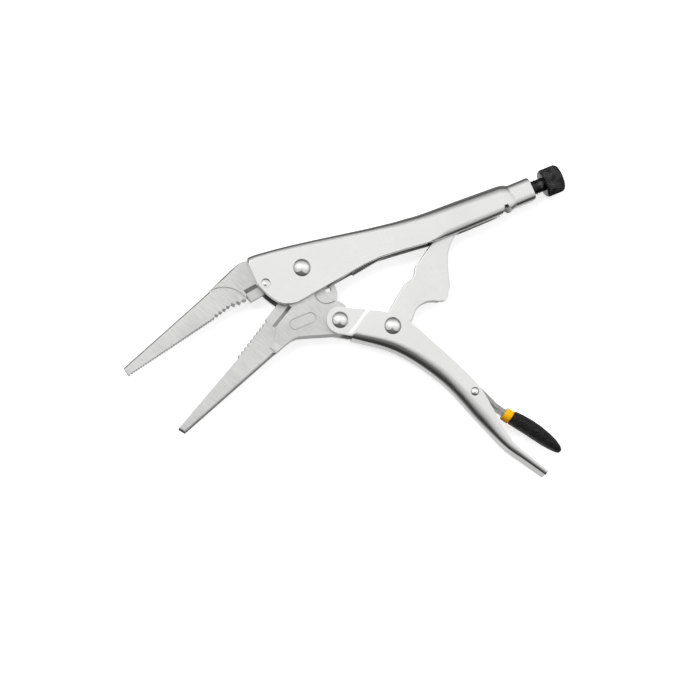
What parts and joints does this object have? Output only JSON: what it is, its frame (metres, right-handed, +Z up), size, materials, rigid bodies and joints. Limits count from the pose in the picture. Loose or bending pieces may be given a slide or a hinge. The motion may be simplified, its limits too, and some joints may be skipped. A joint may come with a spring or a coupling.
{
  "type": "locking pliers",
  "caption": "Long-nose locking pliers with toothed jaws, side cutter, pressed steel handles, toggle link, knurled adjusting knob, return spring and dipped release lever, jaws open",
  "frame": {"origin": "bottom centre of the whole tool's box as it lies on its side with the jaws open", "axes": "+X along the fixed handle from the jaws to the adjusting knob, +Y from the movable handle to the fixed handle, +Z up, along every pivot's axis"},
  "size_m": [0.2248, 0.1457, 0.0182],
  "materials": {
    "handle_plate": "satin nickel plate",
    "jaw_steel": "ground and nickel plated",
    "rivet_steel": "bright plated",
    "link_steel": "satin nickel plate",
    "lever_steel": "satin",
    "grip_vinyl": "dipped, slightly glossy, finely uneven",
    "collar_vinyl": "glossy",
    "black_steel": "black oxide",
    "spring_steel": "dark spring wire"
  },
  "bodies": {
    "frame": {"fixed_handle": "handle_plate", "fixed_jaw": "jaw_steel", "fixed_jaw_rivet": "rivet_steel", "jaw_pivot_rivet": "rivet_steel", "return_spring": "spring_steel"},
    "jaw": {"movable_jaw": "jaw_steel"},
    "handle": {"movable_handle": "handle_plate", "handle_rivet": "rivet_steel", "link_rivet": "rivet_steel", "lever_rivet": "rivet_steel"},
    "link": {"toggle_link": "link_steel"},
    "lever": {"release_lever": "lever_steel", "lever_grip": "grip_vinyl", "lever_collar": "collar_vinyl"},
    "screw": {"adjusting_screw": "black_steel"},
    "knob": {"adjusting_knob": "black_steel"}
  },
  "joints": [
    {"name": "jaw_hinge", "type": "hinge", "parent": "frame", "child": "jaw", "pos_m": [-0.0194, 0.05865, 0.0091], "axis": [0, 0, 1], "range_deg": [-20.2, 0], "stiffness_Nm_per_rad": 0.15, "deforming": ["return_spring"]},
    {"name": "handle_hinge", "type": "hinge", "parent": "jaw", "child": "handle", "pos_m": [-0.013, 0.02955, 0.0091], "axis": [0, 0, 1], "range_deg": [0, 60]},
    {"name": "link_hinge", "type": "hinge", "parent": "handle", "child": "link", "pos_m": [0.0083, 0.01765, 0.0091], "axis": [0, 0, 1], "range_deg": [-54.8, 0]},
    {"name": "lever_hinge", "type": "hinge", "parent": "handle", "child": "lever", "pos_m": [0.0309, -0.02495, 0.0091], "axis": [0, 0, 1], "range_deg": [-8, 0]},
    {"name": "screw_slide", "type": "slide", "parent": "frame", "child": "screw", "axis": [1, 0, 0], "range_m": [0, 0.005]},
    {"name": "knob_turn", "type": "hinge", "parent": "screw", "child": "knob", "pos_m": [0.1031, 0.05265, 0.0091], "axis": [1, 0, 0], "range_deg": [0, 1440]}
  ],
  "couplings": [
    {"joint": "jaw_hinge", "follows": "handle_hinge", "ratio": -0.33667},
    {"joint": "link_hinge", "follows": "handle_hinge", "ratio": -0.9128},
    {"joint": "knob_turn", "follows": "screw_slide", "rad_per_m": 5026.5}
  ]
}
